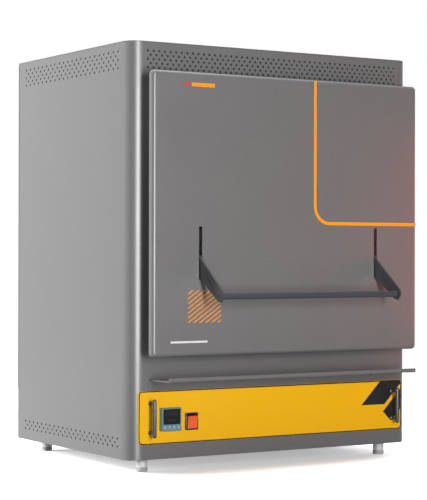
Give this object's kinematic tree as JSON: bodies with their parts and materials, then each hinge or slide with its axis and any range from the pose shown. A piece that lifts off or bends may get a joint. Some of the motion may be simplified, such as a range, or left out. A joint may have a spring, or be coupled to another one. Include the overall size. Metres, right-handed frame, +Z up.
{
  "type": "chamber furnace",
  "caption": "Bench-top chamber furnace with a parallel-lift front door, a pull bar on counterweighted levers, a front shelf and a slide-out control drawer.",
  "frame": {"origin": "on the floor under the middle of the furnace, centred between its sides and between the pull bar and the rear fittings", "axes": "+Z up; the door and the control drawer face -Y; +X is to the right seen from the front"},
  "size_m": [0.72, 0.6933, 0.888],
  "materials": {
    "body_paint": "satin",
    "handle_paint": "satin",
    "panel_paint": "satin",
    "galvanised": "satin",
    "bare_steel": "polished",
    "aluminium": "satin",
    "cast_iron": "matte",
    "fibre_board": "matte",
    "ceramic": "matte",
    "element": "matte",
    "black_plastic": "satin",
    "meter_plastic": "satin",
    "window_plastic": "gloss",
    "key_plastic": "satin",
    "orange_plastic": "gloss"
  },
  "bodies": {
    "cabinet": {"front_panel": "body_paint", "side_panel_left": "body_paint", "side_panel_right": "body_paint", "rear_panel": "body_paint", "top_cover": "body_paint", "base_plate": "galvanised", "partition_plate": "galvanised", "foot_front_left": "bare_steel", "foot_front_right": "bare_steel", "foot_rear_left": "bare_steel", "foot_rear_right": "bare_steel", "shelf": "body_paint", "chamber_casing": "galvanised", "insulation_floor": "fibre_board", "insulation_left": "fibre_board", "insulation_right": "fibre_board", "insulation_roof": "fibre_board", "insulation_rear": "fibre_board", "throat_frame": "fibre_board", "hearth_plate": "ceramic", "heating_element_left": "element", "heating_element_right": "element", "thermocouple": "bare_steel", "exhaust_tube": "ceramic", "fan_frame": "black_plastic", "fan_guard": "bare_steel", "mains_inlet": "black_plastic", "pivot_bracket_left": "galvanised", "pivot_bracket_right": "galvanised", "slide_channel_left": "galvanised", "slide_channel_right": "galvanised"},
    "fan": {"fan_impeller": "black_plastic"},
    "levers": {"lever_left": "handle_paint", "lever_right": "handle_paint", "handle_bar": "handle_paint", "counterweight_left": "cast_iron", "counterweight_right": "cast_iron"},
    "door": {"door_cover": "body_paint", "door_box": "galvanised", "door_insulation": "fibre_board", "door_plug": "fibre_board", "door_seal": "fibre_board"},
    "links": {"link_left": "galvanised", "link_right": "galvanised"},
    "drawer": {"drawer_front": "panel_paint", "drawer_chassis": "galvanised", "drawer_handle_left": "handle_paint", "drawer_handle_right": "handle_paint", "slide_bar_left": "galvanised", "slide_bar_right": "galvanised", "transformer": "cast_iron", "power_controller": "aluminium", "controller_body": "meter_plastic", "controller_window": "window_plastic", "rocker_frame": "black_plastic"},
    "rocker": {"rocker": "orange_plastic"},
    "button_1": {"controller_button_1": "key_plastic"},
    "button_2": {"controller_button_2": "key_plastic"},
    "button_3": {"controller_button_3": "key_plastic"},
    "button_4": {"controller_button_4": "key_plastic"}
  },
  "joints": [
    {"name": "door_lift", "type": "hinge", "parent": "cabinet", "child": "levers", "pos_m": [0, -0.08687, 0.64479], "axis": [-1, 0, 0], "range_deg": [0, 90]},
    {"name": "door_level", "type": "hinge", "parent": "levers", "child": "door", "pos_m": [0, -0.23026, 0.44], "axis": [-1, 0, 0], "range_deg": [-90, 0]},
    {"name": "link_swing", "type": "hinge", "parent": "cabinet", "child": "links", "pos_m": [0, -0.08687, 0.51479], "axis": [-1, 0, 0], "range_deg": [0, 90]},
    {"name": "drawer_slide", "type": "slide", "parent": "cabinet", "child": "drawer", "axis": [0, -1, 0], "range_m": [0, 0.3]},
    {"name": "power_rocker", "type": "hinge", "parent": "drawer", "child": "rocker", "pos_m": [-0.2125, -0.19426, 0.103], "axis": [-1, 0, 0], "range_deg": [0, 14]},
    {"name": "button_1_press", "type": "slide", "parent": "drawer", "child": "button_1", "axis": [0, 1, 0], "range_m": [0, 0.0007], "stiffness_N_per_m": 400},
    {"name": "button_2_press", "type": "slide", "parent": "drawer", "child": "button_2", "axis": [0, 1, 0], "range_m": [0, 0.0007], "stiffness_N_per_m": 400},
    {"name": "button_3_press", "type": "slide", "parent": "drawer", "child": "button_3", "axis": [0, 1, 0], "range_m": [0, 0.0007], "stiffness_N_per_m": 400},
    {"name": "button_4_press", "type": "slide", "parent": "drawer", "child": "button_4", "axis": [0, 1, 0], "range_m": [0, 0.0007], "stiffness_N_per_m": 400},
    {"name": "fan_spin", "type": "hinge", "parent": "cabinet", "child": "fan", "pos_m": [0, 0.31244, 0.79], "axis": [0, 1, 0], "continuous": true}
  ],
  "couplings": [
    {"joint": "door_level", "follows": "door_lift", "ratio": -1},
    {"joint": "link_swing", "follows": "door_lift", "ratio": 1}
  ]
}
